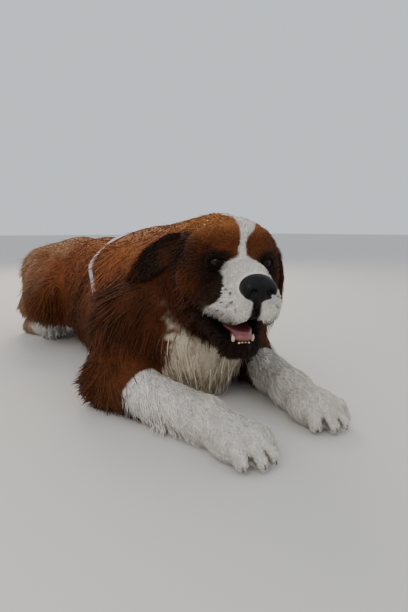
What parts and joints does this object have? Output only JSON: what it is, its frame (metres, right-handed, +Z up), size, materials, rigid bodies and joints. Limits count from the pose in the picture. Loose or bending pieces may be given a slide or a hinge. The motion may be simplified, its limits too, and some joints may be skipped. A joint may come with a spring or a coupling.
{
  "type": "dog model",
  "caption": "Life-size model of a long-coated Saint Bernard lying on its chest, forelegs stretched forward, head low and mouth open",
  "frame": {"origin": "On the floor under the breastbone, on the flat the chest rests on", "axes": "+Z is up, -Y is the way the dog faces, and +X is the dog's left side"},
  "size_m": [0.621, 1.4125, 0.418],
  "materials": {
    "coat": "long soft coat",
    "white_coat": "short soft coat",
    "dark_coat": "short soft coat",
    "tongue": "wet",
    "nose": "moist leather-like",
    "eye": "glossy",
    "webbing": "woven"
  },
  "bodies": {
    "root": {"torso": "coat", "neck": "coat", "head": "coat", "lower_jaw": "white_coat", "tongue": "tongue", "nose": "nose", "eye_left": "eye", "eye_right": "eye", "ear_left": "dark_coat", "ear_right": "dark_coat", "foreleg_left": "coat", "foreleg_right": "coat", "forepaw_left": "white_coat", "forepaw_right": "white_coat", "hind_leg_left": "coat", "hind_leg_right": "coat", "hind_foot_left": "white_coat", "hind_foot_right": "white_coat", "tail": "coat", "girth_strap": "webbing"}
  },
  "joints": []
}
